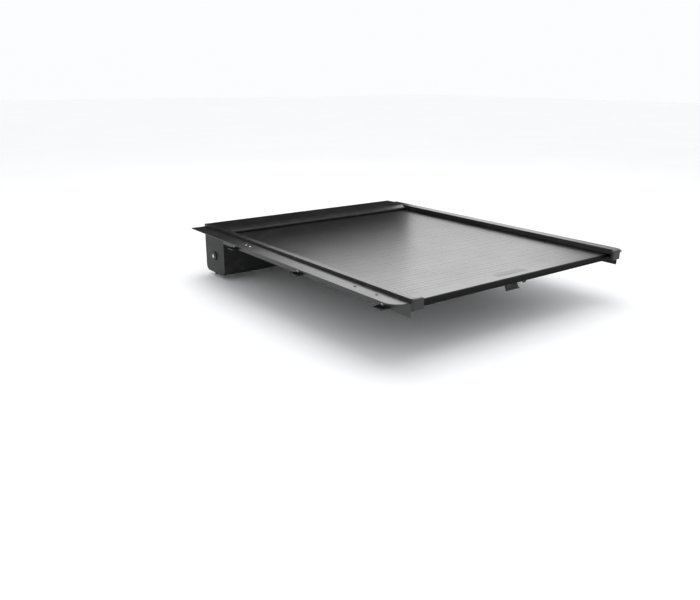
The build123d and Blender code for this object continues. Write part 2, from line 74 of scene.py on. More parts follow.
mm = 0.001
print("frame:", len(nodes), "nodes,", [round(v, 3) for v in cad_high - cad_low], "m")

# %% [markdown]
# ## Sizes read from the frame
# On the real cover everything hangs on a few lines: the curtain's top face, the lips' inner
# faces, the mouth of the canister and the tail bar's rear edge. Typing coordinates for each piece
# would work, but reading the lines once from the frame keeps every new piece where the frame has
# its collision.

# %% Lines that the pieces share
lid_gap = 0.8 * mm
badge_margin = 10.5 * mm
wall = 3 * mm
slat_count = sum(name.startswith("slat_") for name in nodes)
curtain_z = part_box("slat_01")[1].z
slat_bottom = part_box("slat_02")[0].z
slat_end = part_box("tail_bar")[1].x
shoe_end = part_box("slat_01")[1].x
lip_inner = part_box("canister_lid")[1].x + lid_gap
lip_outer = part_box("rail_end_cap_right")[1].x
lip_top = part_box("rail_end_cap_right")[1].z
flange_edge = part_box("rail_right")[1].x
rail_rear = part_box("rail_right")[0].y
leg_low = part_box("rail_right")[0].z
gutter_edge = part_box("rail_right")[0].x
mouth_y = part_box("canister_body")[0].y
tail_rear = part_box("tail_bar")[0].y
pitch = (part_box("slat_01")[0].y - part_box("slat_26")[0].y) / (slat_count - 1)
tail_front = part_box("label_plate")[1].y + badge_margin
curtain_front = tail_front + slat_count * pitch
print("curtain top", round(curtain_z, 4), "pitch", round(pitch, 4), "slats", slat_count)

# %% [markdown]
# ## Helpers for extruded bars, plates and turned parts
# Most pieces of a cover are extrusions: one outline, run straight. An outline is a face of a few
# vertices; extruding that face is how the real press makes the bar, so it is done that way here
# and not by typing both ends. Bevels then round the edges, and each rounded face is marked, so
# that wear can be painted only there.

# %% Worn edges
def mark_layer(bm):
    """The corner colour that tells rounded edges from flat faces."""
    layer = bm.loops.layers.float_color.get("edge")
    return layer or bm.loops.layers.float_color.new("edge")


def soften(bm, edges, radius, segments=3):
    """Round some edges and mark the new faces as worn edges."""
    mark_layer(bm)
    made = bmesh.ops.bevel(bm, geom=list(edges), offset=radius, segments=segments,
                           profile=0.5, affect="EDGES", material=-1, clamp_overlap=True)
    layer = mark_layer(bm)
    for face in made["faces"]:
        for corner in face.loops:
            corner[layer] = (1.0, 1.0, 1.0, 1.0)


print("edge helpers ready")

# %% Outline to bar
def shift(bm, geometry, run):
    """Move the vertices that an extrusion has just made."""
    moved = [v for v in geometry if isinstance(v, bmesh.types.BMVert)]
    bmesh.ops.translate(bm, verts=moved, vec=run)


def extruded(points, run):
    """A closed solid from a face outline and the vector that it is run along."""
    bm = bmesh.new()
    mark_layer(bm)
    face = bm.faces.new([bm.verts.new(point) for point in points])
    made = bmesh.ops.extrude_face_region(bm, geom=[face])
    shift(bm, made["geom"], run)
    bmesh.ops.recalc_face_normals(bm, faces=bm.faces)
    return bm


def bar_x(outline, x0, x1):
    """Run a (y, z) outline along X."""
    return extruded([(x0, y, z) for y, z in outline], (x1 - x0, 0, 0))


def box(x0, x1, y0, y1, z0, z1, radius=0.0, segments=2):
    """A block between limits, with all its edges rounded."""
    bm = bmesh.new()
    mark_layer(bm)
    bmesh.ops.create_cube(bm, size=1.0)
    bmesh.ops.scale(bm, verts=bm.verts, vec=(x1 - x0, y1 - y0, z1 - z0))
    bmesh.ops.translate(bm, verts=bm.verts, vec=((x0 + x1) / 2, (y0 + y1) / 2, (z0 + z1) / 2))
    if radius:
        soften(bm, bm.edges[:], radius, segments)
    return bm


def arc(cy, cz, radius, start, end, steps):
    """Points along a circle, in degrees, for an outline."""
    turns = [math.radians(start + (end - start) * i / steps) for i in range(steps + 1)]
    return [(cy + radius * math.cos(t), cz + radius * math.sin(t)) for t in turns]


print("outline helpers ready")

# %% Picking edges
same_line = 0.05 * mm


def edges_where(bm, test):
    """Edges whose two ends both pass a test on their place."""
    return [e for e in bm.edges if all(test(v.co) for v in e.verts)]


def along(bm, axis, test=None):
    """Edges that run along one axis, if their middle passes the test."""
    found = []
    for edge in bm.edges:
        run = edge.verts[1].co - edge.verts[0].co
        middle = (edge.verts[0].co + edge.verts[1].co) / 2
        if abs(run[axis]) > 0.999 * run.length and (test is None or test(middle)):
            found.append(edge)
    return found


def near(value, target):
    return abs(value - target) < same_line


print("places within", same_line / mm, "mm count as one line")

# %% Turning and joining
merge_reach = 0.001 * mm


def turned(profile, centre, axis, steps=32):
    """Spin a closed profile of (radius, height) points once round an axis through a centre."""
    bm = bmesh.new()
    mark_layer(bm)
    points = [bm.verts.new((radius, 0, height)) for radius, height in profile]
    rim = [bm.edges.new((a, b)) for a, b in zip(points, points[1:] + points[:1])]
    bmesh.ops.spin(bm, geom=points + rim, cent=(0, 0, 0), axis=(0, 0, 1), dvec=(0, 0, 0),
                   angle=math.tau, steps=steps, use_merge=True, use_duplicate=False)
    bmesh.ops.remove_doubles(bm, verts=bm.verts, dist=merge_reach)
    bmesh.ops.recalc_face_normals(bm, faces=bm.faces)
    lay = Vector((0, 0, 1)).rotation_difference(Vector(axis)).to_matrix().to_4x4()
    bmesh.ops.transform(bm, matrix=Matrix.Translation(centre) @ lay, verts=bm.verts)
    return bm


def joined(*parts):
    """Several meshes as the separate closed shells of one mesh."""
    whole = bmesh.new()
    mark_layer(whole)
    for part in parts:
        scratch = bpy.data.meshes.new("scratch")
        part.to_mesh(scratch)
        part.free()
        whole.from_mesh(scratch)
        bpy.data.meshes.remove(scratch)
    return whole


def left_of(bm):
    """Mirror image on the other side of the bed, with its normals turned out again."""
    other = bm.copy()
    bmesh.ops.scale(other, verts=other.verts, vec=(-1, 1, 1))
    bmesh.ops.reverse_faces(other, faces=other.faces)
    return other


def both_sides(bm):
    return joined(left_of(bm), bm)


def tint(bm, slot_number):
    """Give every face of a mesh one material slot."""
    for face in bm.faces:
        face.material_index = slot_number
    return bm


print("turning and joining helpers ready, merging within", merge_reach / mm, "mm")

# %% Finished piece
fold_angle = math.radians(35.0)


def piece(name, bm, body, slot, materials, *replaced):
    """Turn a mesh into a finished piece that rides on a body and stands for frame nodes."""
    mesh = bpy.data.meshes.new(name)
    bm.to_mesh(mesh)
    bm.free()
    for material in materials:
        mesh.materials.append(material)
    mesh.shade_smooth()
    mesh.set_sharp_from_angle(angle=fold_angle)
    thing = bpy.data.objects.new(name, mesh)
    bpy.context.scene.collection.objects.link(thing)
    even = thing.modifiers.new("flat_faces_stay_flat", "WEIGHTED_NORMAL")
    even.keep_sharp = True
    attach(thing, body)
    if replaced:
        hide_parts(*replaced)
    return thing


print("piece helper ready, edges sharp from", round(math.degrees(fold_angle)), "degrees")

# %% [markdown]
# ## Effects that several finishes share
# Powder coat, moulded nylon and rubber are all black here, so the eye tells them apart by grain,
# gloss and wear. Each effect is a node group that puts out masks or heights, and the shader stays
# in the material, where its constant values are set on its own sockets.

# %% Node group builder
def new_group(name, inputs, outputs):
    """Empty shader group with float inputs (name: default) and float outputs."""
    tree = bpy.data.node_groups.new(name, "ShaderNodeTree")
    for label, value in inputs.items():
        socket = tree.interface.new_socket(label, in_out="INPUT", socket_type="NodeSocketFloat")
        socket.default_value = value
    for label in outputs:
        tree.interface.new_socket(label, in_out="OUTPUT", socket_type="NodeSocketFloat")
    return tree, tree.nodes.new("NodeGroupInput"), tree.nodes.new("NodeGroupOutput")


def maths(tree, operation, *values, clamp=False):
    """A math node fed with sockets or numbers; returns its output."""
    node = tree.nodes.new("ShaderNodeMath")
    node.operation = operation
    node.use_clamp = clamp
    for number, value in enumerate(values):
        if isinstance(value, (int, float)):
            node.inputs[number].default_value = value
        else:
            tree.links.new(value, node.inputs[number])
    return node.outputs[0]


def noise(tree, vector, scale, detail=2.0, rough=0.5):
    node = tree.nodes.new("ShaderNodeTexNoise")
    node.inputs["Detail"].default_value = detail
    node.inputs["Roughness"].default_value = rough
    tree.links.new(vector, node.inputs["Vector"])
    if isinstance(scale, (int, float)):
        node.inputs["Scale"].default_value = scale
    else:
        tree.links.new(scale, node.inputs["Scale"])
    return node.outputs["Fac"]


def spread(tree, value, low, high):
    """Stretch a value so that low becomes 0 and high becomes 1, clamped."""
    node = tree.nodes.new("ShaderNodeMapRange")
    node.inputs["From Min"].default_value = low
    node.inputs["From Max"].default_value = high
    tree.links.new(value, node.inputs["Value"])
    return node.outputs["Result"]


def place(tree):
    """Object coordinates, in metres."""
    return tree.nodes.new("ShaderNodeTexCoord").outputs["Object"]


print("group helpers ready")

# %% Grain of a powder coat
def make_grain():
    """Orange peel with finer specks on it. Height is for bump, Tone for colour and gloss."""
    tree, given, out = new_group("coat_grain", {"Scale": 900.0}, ["Height", "Tone"])
    vector = place(tree)
    peel = noise(tree, vector, given.outputs["Scale"], 3.0, 0.6)
    specks = noise(tree, vector, maths(tree, "MULTIPLY", given.outputs["Scale"], 2.7), 1.0)
    height = maths(tree, "ADD", peel, maths(tree, "MULTIPLY", specks, 0.5))
    broad = noise(tree, vector, 6.0, 4.0, 0.55)
    tree.links.new(height, out.inputs["Height"])
    tree.links.new(spread(tree, broad, 0.3, 0.7), out.inputs["Tone"])
    return tree


coat_grain = make_grain()
print("coat_grain:", len(coat_grain.nodes), "nodes")

# %% Wear on rounded edges
def make_wear():
    """Where hands and cargo have rubbed the marked edges through to bare metal."""
    tree, given, out = new_group("edge_wear", {"Amount": 0.3}, ["Mask"])
    mark = tree.nodes.new("ShaderNodeAttribute")
    mark.attribute_name = "edge"
    vector = place(tree)
    patches = spread(tree, noise(tree, vector, 14.0, 5.0, 0.7), 0.52, 0.72)
    nicks = spread(tree, noise(tree, vector, 420.0, 3.0, 0.65), 0.55, 0.7)
    rubbed = maths(tree, "MULTIPLY", maths(tree, "MULTIPLY", patches, nicks), mark.outputs["Fac"])
    mask = maths(tree, "MULTIPLY", rubbed, given.outputs["Amount"], clamp=True)
    tree.links.new(mask, out.inputs["Mask"])
    return tree


edge_wear = make_wear()
print("edge_wear:", len(edge_wear.nodes), "nodes")

# %% Dust on faces that look up
def make_dust():
    """Thin dust that settles in patches on level faces."""
    tree, given, out = new_group("settled_dust", {"Amount": 0.2}, ["Mask"])
    facing = tree.nodes.new("ShaderNodeSeparateXYZ")
    shape = tree.nodes.new("ShaderNodeNewGeometry")
    tree.links.new(shape.outputs["Normal"], facing.inputs[0])
    level = spread(tree, facing.outputs["Z"], 0.6, 1.0)
    vector = place(tree)
    patches = spread(tree, noise(tree, vector, 3.0, 6.0, 0.65), 0.35, 0.75)
    fine = spread(tree, noise(tree, vector, 260.0, 4.0, 0.7), 0.4, 0.75)
    film = maths(tree, "MULTIPLY", maths(tree, "MULTIPLY", patches, fine), level)
    mask = maths(tree, "MULTIPLY", film, given.outputs["Amount"], clamp=True)
    tree.links.new(mask, out.inputs["Mask"])
    return tree


settled_dust = make_dust()
print("settled_dust:", len(settled_dust.nodes), "nodes")

# %% Brushing and die lines
def make_lines():
    """Fine straight lines along X, from brushing a plate or from an extrusion die."""
    inputs = {"Scale": 500.0, "Stretch": 0.02}
    tree, given, out = new_group("fine_lines", inputs, ["Height", "Tone"])
    squeeze = tree.nodes.new("ShaderNodeCombineXYZ")
    parts = tree.nodes.new("ShaderNodeSeparateXYZ")
    tree.links.new(place(tree), parts.inputs[0])
    drawn_out = maths(tree, "MULTIPLY", parts.outputs["X"], given.outputs["Stretch"])
    tree.links.new(drawn_out, squeeze.inputs[0])
    tree.links.new(parts.outputs["Y"], squeeze.inputs[1])
    tree.links.new(parts.outputs["Z"], squeeze.inputs[2])
    lines = noise(tree, squeeze.outputs[0], given.outputs["Scale"], 3.0, 0.6)
    tree.links.new(lines, out.inputs["Height"])
    tree.links.new(spread(tree, lines, 0.3, 0.7), out.inputs["Tone"])
    return tree


fine_lines = make_lines()
print("fine_lines:", len(fine_lines.nodes), "nodes")

# %% [markdown]
# ## Finishes
# One function makes every coated or moulded finish from the same effects with its own numbers:
# the curtain is a satin powder coat with a fine peel, the lid is a little smoother, nylon is matt
# with a coarser grain and no bare metal under it. A second one makes the bare metals.

# %% Parts of a finish
def use_group(tree, group, **values):
    node = tree.nodes.new("ShaderNodeGroup")
    node.node_tree = group
    for label, value in values.items():
        node.inputs[label].default_value = value
    return node


def blend_colour(tree, mask, low, high):
    """Colour that goes from low to high with a mask; either may be a colour or a socket."""
    node = tree.nodes.new("ShaderNodeMix")
    node.data_type = "RGBA"
    tree.links.new(mask, node.inputs["Factor"])
    for socket, colour in ((node.inputs[6], low), (node.inputs[7], high)):
        if isinstance(colour, tuple):
            socket.default_value = (*colour, 1.0)
        else:
            tree.links.new(colour, socket)
    return node.outputs[2]


def bump(tree, shader, height, depth):
    node = tree.nodes.new("ShaderNodeBump")
    node.inputs["Strength"].default_value = 1.0
    node.inputs["Distance"].default_value = depth
    tree.links.new(height, node.inputs["Height"])
    tree.links.new(node.outputs["Normal"], shader.inputs["Normal"])


def grey(value):
    return (value, value, value)


def new_material(name):
    material = bpy.data.materials.new(name)
    material.use_nodes = True
    return material, material.node_tree, material.node_tree.nodes["Principled BSDF"]


dust_colour = (0.30, 0.28, 0.25)
bare_metal = grey(0.5)
print("parts of a finish ready")

# %% Coated and moulded finishes
def coated(name, dark, light, rough, gloss_change, scale, depth, wear, dust, shine):
    """Black coat or moulding: grain, two close greys, worn edges and a little dust."""
    material, tree, shader = new_material(name)
    grain = use_group(tree, coat_grain, Scale=scale)
    film = use_group(tree, settled_dust, Amount=dust)
    colour = blend_colour(tree, grain.outputs["Tone"], grey(dark), grey(light))
    colour = blend_colour(tree, film.outputs["Mask"], colour, dust_colour)
    gloss = maths(tree, "MULTIPLY_ADD", grain.outputs["Tone"], gloss_change, rough)
    gloss = maths(tree, "MULTIPLY_ADD", film.outputs["Mask"], 0.35, gloss, clamp=True)
    if wear:
        rubbed = use_group(tree, edge_wear, Amount=wear)
        colour = blend_colour(tree, rubbed.outputs["Mask"], colour, bare_metal)
        tree.links.new(rubbed.outputs["Mask"], shader.inputs["Metallic"])
    tree.links.new(colour, shader.inputs["Base Color"])
    tree.links.new(gloss, shader.inputs["Roughness"])
    shader.inputs["Specular IOR Level"].default_value = shine
    bump(tree, shader, grain.outputs["Height"], depth * mm)
    return material


# Name, dark and light grey, roughness and its change, grain scale, bump in mm, wear, dust, shine.
coats = [
    ("satin_coat", 0.007, 0.010, 0.30, 0.04, 900.0, 0.04, 0.4, 0.02, 0.46),
    ("rail_coat", 0.008, 0.012, 0.36, 0.05, 1000.0, 0.05, 0.5, 0.05, 0.6),
    ("lid_coat", 0.008, 0.012, 0.33, 0.05, 1200.0, 0.03, 0.4, 0.04, 0.28),
    ("canister_coat", 0.012, 0.015, 0.5, 0.04, 800.0, 0.06, 0.5, 0.1, 0.3),
    ("moulded_nylon", 0.016, 0.024, 0.46, 0.08, 1500.0, 0.04, 0.0, 0.08, 0.4),
    ("soft_rubber", 0.004, 0.008, 0.62, 0.1, 1800.0, 0.03, 0.0, 0.05, 0.12),
    ("web_cloth", 0.012, 0.03, 0.78, 0.12, 420.0, 0.15, 0.0, 0.06, 0.2),
    ("closed_foam", 0.01, 0.02, 0.9, 0.08, 700.0, 0.25, 0.0, 0.1, 0.1),
    ("black_steel", 0.014, 0.019, 0.42, 0.1, 1300.0, 0.03, 0.6, 0.08, 0.4),
]
(satin_coat, rail_coat, lid_coat, canister_coat, nylon, rubber, web_cloth, foam,
 black_steel) = [coated(*row) for row in coats]
print("coated and moulded:", [row[0] for row in coats])

# %% Bare and plated metals
line_depth = 0.02 * mm


def metal(name, dark, light, rough, gloss_change, scale, stretch, dust=0.0):
    """Bare or plated metal with the lines that drawing, rolling or brushing leave."""
    material, tree, shader = new_material(name)
    lines = use_group(tree, fine_lines, Scale=scale, Stretch=stretch)
    colour = blend_colour(tree, lines.outputs["Tone"], dark, light)
    if dust:
        film = use_group(tree, settled_dust, Amount=dust)
        colour = blend_colour(tree, film.outputs["Mask"], colour, dust_colour)
    tree.links.new(colour, shader.inputs["Base Color"])
    gloss = maths(tree, "MULTIPLY_ADD", lines.outputs["Tone"], gloss_change, rough, clamp=True)
    tree.links.new(gloss, shader.inputs["Roughness"])
    shader.inputs["Metallic"].default_value = 1.0
    bump(tree, shader, lines.outputs["Height"], line_depth)
    return material


zinc = metal("zinc_plate", grey(0.42), grey(0.58), 0.34, 0.15, 260.0, 0.4, 0.1)
mill = metal("mill_aluminium", grey(0.5), grey(0.64), 0.36, 0.12, 500.0, 0.02)
spring_wire = metal("spring_wire", (0.14, 0.13, 0.12), (0.25, 0.24, 0.22), 0.3, 0.15, 300.0, 0.5)
brushed = metal("brushed_badge", grey(0.11), grey(0.17), 0.45, 0.12, 900.0, 0.01)
print("finishes:", sorted(m.name for m in bpy.data.materials))

# %% [markdown]
# ## Slats
# A slat is a hollow extrusion 52 mm wide. A bead along its rear edge turns in the socket of the
# slat behind, which is what lets the curtain wind up. The outline below is the whole outside of
# that section, bead and socket included, so the joint is there when it is seen from the end. On
# the real curtain the seams and the groove are hairlines, so they are cut narrow and shallow here;
# a texture of lines would be quicker, but only a cut catches the light at a low angle. The ends
# carry nylon shoes that run in the rails.

# %% Section of a slat
socket_bore = 2.3 * mm
socket_radius = socket_bore + 1.4 * mm
bead_radius = 2.0 * mm
half_neck = 0.75 * mm
half_mouth = half_neck + 0.6 * mm
half_seam = 0.25 * mm
skin = 2.0 * mm
joint_setback = socket_radius + 0.6 * mm
joint_z = slat_bottom + socket_radius
groove_half = 0.5 * mm
groove_depth = 0.5 * mm
edge_break = 0.2 * mm
shoe_gap = 1.0 * mm
shoe_round = 1.2 * mm


def lean(height, radius):
    return math.degrees(math.asin(height / radius))


def socket_outline(front):
    """From a skin's front edge, round the socket, to the underside."""
    y = front - joint_setback
    outer = lean(half_mouth, socket_radius)
    inner = lean(half_mouth, socket_bore)
    points = [(front - half_seam, curtain_z), (front - half_seam, curtain_z - skin)]
    points += [(y - socket_radius * 0.7, curtain_z - skin)]
    points += arc(y, joint_z, socket_radius, 125, outer, 6)
    points += arc(y, joint_z, socket_bore, inner, 360 - inner, 14)
    points += arc(y, joint_z, socket_radius, -outer, -90, 5)
    return points


def bead_outline(rear):
    """From the underside, round the bead, to a slat's top rear edge."""
    y = rear - joint_setback
    neck = lean(half_neck, bead_radius)
    points = [(rear + half_seam, slat_bottom), (rear + half_seam, joint_z - half_neck)]
    points += arc(y, joint_z, bead_radius, -neck, neck - 360, 14)
    return points + [(rear + half_seam, joint_z + half_neck), (rear + half_seam, curtain_z)]


def groove_outline(middle):
    low = curtain_z - groove_depth
    return [(middle - groove_half, curtain_z), (middle - groove_half, low),
            (middle + groove_half, low), (middle + groove_half, curtain_z)]


print("slat joint: bore", round(socket_bore / mm, 2), "mm, bead", round(bead_radius / mm, 2), "mm")

# %% One slat, then the curtain
def slat_mesh():
    """A slat with its rear edge at Y = 0 and its two nylon shoes."""
    outline = groove_outline(pitch / 2) + socket_outline(pitch) + bead_outline(0)
    profile = bar_x(outline, -slat_end, slat_end)
    top = along(profile, 0, lambda p: near(p.z, curtain_z))
    soften(profile, top, edge_break, 2)
    shoe_front = pitch - joint_setback - socket_radius + shoe_gap
    shoe = box(slat_end, shoe_end, shoe_gap, shoe_front, slat_bottom, curtain_z, shoe_round)
    return joined(tint(profile, 0), tint(both_sides(shoe), 1))


pattern = slat_mesh()
for number in range(1, slat_count + 1):
    name = f"slat_{number:02d}"
    rear = curtain_front - number * pitch
    mesh_now = pattern.copy()
    bmesh.ops.translate(mesh_now, verts=mesh_now.verts, vec=(0, rear, 0))
    slat = piece(f"curtain_{name}", mesh_now, name, "satin_black_aluminium",
                 [satin_coat, nylon], name)
    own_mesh(slat)
pattern.free()

# %% [markdown]
# ## Tail bar
# The last slat is 80 mm wide and deeper than the rest, because it carries the latch and takes the
# knocks. Its deep part stops short of the rails' gutters, so the bar is three runs of two
# outlines that meet face to face. The top rear edge is rounded: it is the line that catches light.

# %% Tail bar and its shoes
tail_low = curtain_z - 18 * mm
tail_round = 3.0 * mm
tail_break = 0.15 * mm
tail_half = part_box("rear_seal")[1].x
body_front = tail_front - joint_setback - socket_radius + shoe_gap
thin = [(tail_rear, slat_bottom), (tail_rear, curtain_z)] + socket_outline(tail_front)
deep = [(tail_rear, tail_low), (tail_rear, curtain_z)] + socket_outline(tail_front)
deep += [(body_front, slat_bottom), (body_front, tail_low)]


def tail_run(outline, x0, x1):
    """One run of the bar, with the rear edge well rounded and the rest just broken."""
    run = bar_x(outline, x0, x1)
    rear_edge = along(run, 0, lambda p: near(p.z, curtain_z) and near(p.y, tail_rear))
    soften(run, rear_edge, tail_round, 5)
    front_edge = along(run, 0, lambda p: near(p.z, curtain_z) and p.y > body_front)
    soften(run, front_edge, tail_break, 2)
    return run


bar = joined(tail_run(deep, -tail_half, tail_half), tail_run(thin, tail_half, slat_end),
             tail_run(thin, -slat_end, -tail_half))
piece("tail_bar_body", bar, "tail_bar", "satin_black_aluminium", [satin_coat], "tail_bar")
shoe = box(slat_end, shoe_end, tail_rear + shoe_gap, body_front, slat_bottom, curtain_z, shoe_round)
piece("tail_bar_slides", both_sides(shoe), "tail_bar", "black_nylon", [nylon], "tail_bar_shoes")
print("tail bar from", round(tail_rear, 4), "to", round(body_front, 4))

# %% Badge and seal
badge_corner, badge_edge = 4.0 * mm, 0.35 * mm

low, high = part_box("label_plate")
badge = box(low.x, high.x, low.y, high.y, low.z, high.z)
soften(badge, along(badge, 2), badge_corner, 5)
soften(badge, edges_where(badge, lambda p: near(p.z, high.z)), badge_edge, 2)
piece("blank_badge", badge, "tail_bar", "brushed_label", [brushed], "label_plate")

seal_low, seal_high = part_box("rear_seal")
bulb = 6.0 * mm
bulb_y, bulb_z = seal_low.y + bulb, seal_low.z + bulb
strip_low = bulb_z + bulb * 0.9
strip = bar_x([(tail_rear - wall, strip_low), (tail_rear - wall, seal_high.z),
               (tail_rear, seal_high.z), (tail_rear, strip_low)], -tail_half, tail_half)
soften(strip, along(strip, 0, lambda p: near(p.z, seal_high.z)), 0.6 * mm, 2)
tube = bar_x(arc(bulb_y, bulb_z, bulb, 90, 450, 24)[:-1], -tail_half, tail_half)
piece("rear_rubber_seal", joined(strip, tube), "tail_bar", "black_rubber", [rubber], "rear_seal")
print("badge", round(high.x - low.x, 3), "m, seal bulb", round(2 * bulb, 3), "m")

# %% [markdown]
# ## Side rails
# A rail is one extrusion: a hollow raised lip, a flat flange on the bed side, a channel for the
# slats' shoes with a gutter inboard of it, and a leg that the clamps hold. The hollow lip is a
# ring between two loops, bridged and extruded. The flange starts as a block whose corner is
# rounded by a bevel, and its tape pocket is cut in with three planes.

# %% Levels of a rail
screw_rise = 2.6 * mm
tape_width = 20 * mm
tape_depth = 2 * mm
tape_stop = 2 * mm
corner_radius = 60 * mm
edge_round = 0.8 * mm
flange_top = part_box("deck_screws")[1].z - screw_rise
flange_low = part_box("deck_screws")[0].z
lip_low = curtain_z + 2.5 * mm
floor_top = curtain_z - 14 * mm
gutter_top = curtain_z - 11.5 * mm
tape_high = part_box("flange_seals")[1].x
tape_low = tape_high - tape_width
tape_rear, tape_front = rail_rear + corner_radius, -tape_stop
print("flange", round(flange_top - flange_low, 4), "m thick, lip from", round(lip_low, 4))

# %% Lip

def lip_tube():
    """Hollow lip: a ring between an outer and an inner loop, run along the bed."""
    bm = bmesh.new()
    mark_layer(bm)
    rings = []
    for inset in (0.0, wall):
        x0, x1 = lip_inner + inset, lip_outer - inset
        z0, z1 = lip_low + inset, lip_top - inset
        corners = ((x0, z0), (x1, z0), (x1, z1), (x0, z1))
        loop = [bm.verts.new((x, rail_rear, z)) for x, z in corners]
        rings += [bm.edges.new((a, b)) for a, b in zip(loop, loop[1:] + loop[:1])]
    bmesh.ops.bridge_loops(bm, edges=rings)
    made = bmesh.ops.extrude_face_region(bm, geom=bm.faces[:])
    shift(bm, made["geom"], (0, -rail_rear, 0))
    bmesh.ops.recalc_face_normals(bm, faces=bm.faces)
    soften(bm, along(bm, 1, lambda p: near(p.z, lip_top)), 2.0 * mm, 4)
    inner_edge = along(bm, 1, lambda p: near(p.x, lip_inner) and near(p.z, lip_low))
    soften(bm, inner_edge, edge_round, 2)
    return bm


print("lip", round(lip_outer - lip_inner, 4), "m wide,", round(lip_top - lip_low, 4), "m high")

# %% Flange
def cut(bm, point, normal):
    """Slice every face along a plane and keep both sides."""
    everything = bm.verts[:] + bm.edges[:] + bm.faces[:]
    bmesh.ops.bisect_plane(bm, geom=everything, plane_co=point, plane_no=normal)


def flange():
    """Flat flange with a rounded rear corner and a pocket for the foam tape."""
    bm = box(lip_outer, flange_edge, rail_rear, 0, flange_low, flange_top)
    corner = along(bm, 2, lambda p: near(p.x, flange_edge) and near(p.y, rail_rear))
    bmesh.ops.bevel(bm, geom=corner, offset=corner_radius, segments=20, profile=0.5,
                    affect="EDGES", material=-1)
    outer = edges_where(bm, lambda p: near(p.z, flange_top) or near(p.z, flange_low))
    outer = [e for e in outer if not all(near(v.co.x, lip_outer) for v in e.verts)]
    soften(bm, outer, 1.5 * mm, 3)
    for x in (tape_low, tape_high):
        cut(bm, (x, 0, 0), (1, 0, 0))
    for y in (tape_rear, tape_front):
        cut(bm, (0, y, 0), (0, 1, 0))
    pocket = []
    for face in bm.faces:
        middle = face.calc_center_median()
        if (face.normal.z < -0.99 and near(middle.z, flange_low)
                and tape_low < middle.x < tape_high and tape_rear < middle.y < tape_front):
            pocket.append(face)
    made = bmesh.ops.extrude_face_region(bm, geom=pocket)
    shift(bm, made["geom"], (0, 0, tape_depth))
    return bm


print("tape pocket", round(tape_width, 3), "m wide,", round(tape_depth, 3), "m deep")

# %% Whole rail
def rail():
    behind = mouth_y - 0.3 * mm
    leg = box(lip_outer - wall, lip_outer, rail_rear, behind, leg_low, lip_low)
    soften(leg, edges_where(leg, lambda p: near(p.z, leg_low)), edge_round, 2)
    floor = box(gutter_edge, lip_outer - wall, rail_rear, behind, floor_top - wall, floor_top)
    edge = box(gutter_edge, gutter_edge + wall, rail_rear, behind, floor_top, gutter_top)
    soften(edge, along(edge, 1, lambda p: near(p.z, gutter_top)), edge_round, 2)
    return joined(lip_tube(), flange(), leg, floor, edge)


right_rail = rail()
left_rail = left_of(right_rail)
piece("rail_extrusion_right", right_rail, "frame", "satin_black_aluminium", [rail_coat], "rail_right")
piece("rail_extrusion_left", left_rail, "frame", "satin_black_aluminium", [rail_coat], "rail_left")
print("rails", round(-rail_rear, 3), "m long, flange top at", round(flange_top, 4))

# %% [markdown]
# ## End caps, strips and tapes of the rails
# Moulded caps close the rails at the tailgate. A cap has a head with generous curves, because a
# moulding tool can't make sharp corners and a hand meets it there, and a slightly smaller neck
# against the rail, which gives the dark parting line. The slide strips, wipers and foam tapes are
# long thin bars, and each has its edges broken as its material allows: nylon little, rubber more.

# %% End caps
cap_round = 5.0 * mm


def end_cap():
    """A rounded head over the lip's end, on a neck that is a step smaller."""
    low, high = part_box("rail_end_cap_right")
    step = 0.8 * mm
    head = box(low.x, high.x, low.y, rail_rear - step, low.z, high.z)
    soften(head, along(head, 1, lambda p: near(p.z, high.z)), cap_round, 6)
    soften(head, edges_where(head, lambda p: near(p.y, low.y)), cap_round, 6)
    soften(head, edges_where(head, lambda p: near(p.y, rail_rear - step)), 0.5 * mm, 2)
    neck = box(low.x + step, high.x - step, rail_rear - step, rail_rear, low.z + step, high.z - step)
    return joined(head, neck)


cap = end_cap()
left_cap = left_of(cap)
piece("rail_cap_right", cap, "frame", "black_nylon", [nylon], "rail_end_cap_right")
piece("rail_cap_left", left_cap, "frame", "black_nylon", [nylon], "rail_end_cap_left")
print("end caps rounded by", cap_round / mm, "mm")

# %% Strips and tapes
def strip_pair(node, width, radius, segments=2, trim=0.0):
    """Rounded bar in the place of one of a node's two strips, and its mirror image."""
    low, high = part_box(node)
    bar = box(high.x - width, high.x, low.y, high.y - trim, low.z, high.z, radius, segments)
    return both_sides(bar)


for name, node, width in (("lower_slide_strips", "lower_glides", 22 * mm),
                          ("upper_slide_strips", "upper_glides", 10 * mm)):
    piece(name, strip_pair(node, width, 0.5 * mm), "frame", "black_nylon", [nylon], node)
wipers = strip_pair("rail_wipers", 6 * mm, 0.7 * mm, 3)
piece("lip_wipers", wipers, "frame", "black_rubber", [rubber], "rail_wipers")
tapes = strip_pair("flange_seals", tape_width, 0.4 * mm, 2, tape_stop)
piece("foam_tapes", tapes, "frame", "black_foam", [foam], "flange_seals")
print("rail trim: four pairs of strips")

# %% [markdown]
# ## Screws in the flanges
# Button-head screws with a hexagon socket. The dome is a disc pulled up ring by ring with extrude
# and scale; the last ring is pushed onto a hexagon and sunk to make the socket. One screw is made
# and copied to the twelve places that the frame's screws have. One pair is bright zinc, as if it
# had been replaced, and the rest are black.

# %% Button-head screw
head_rings = [(5.5, 0.0), (5.5, 0.5), (5.2, 1.2), (4.5, 1.9), (3.5, 2.4), (2.5, 2.6)]
key_half = 1.75 * mm
key_depth = 1.3 * mm


def ring_up(bm, face, radius, old_radius, rise):
    """Extrude a face, scale the new one about its own centre and lift it."""
    made = bmesh.ops.extrude_discrete_faces(bm, faces=[face])
    face = made["faces"][0]
    bmesh.ops.scale(bm, verts=face.verts, vec=(radius / old_radius, radius / old_radius, 1))
    bmesh.ops.translate(bm, verts=face.verts, vec=(0, 0, rise))
    return face


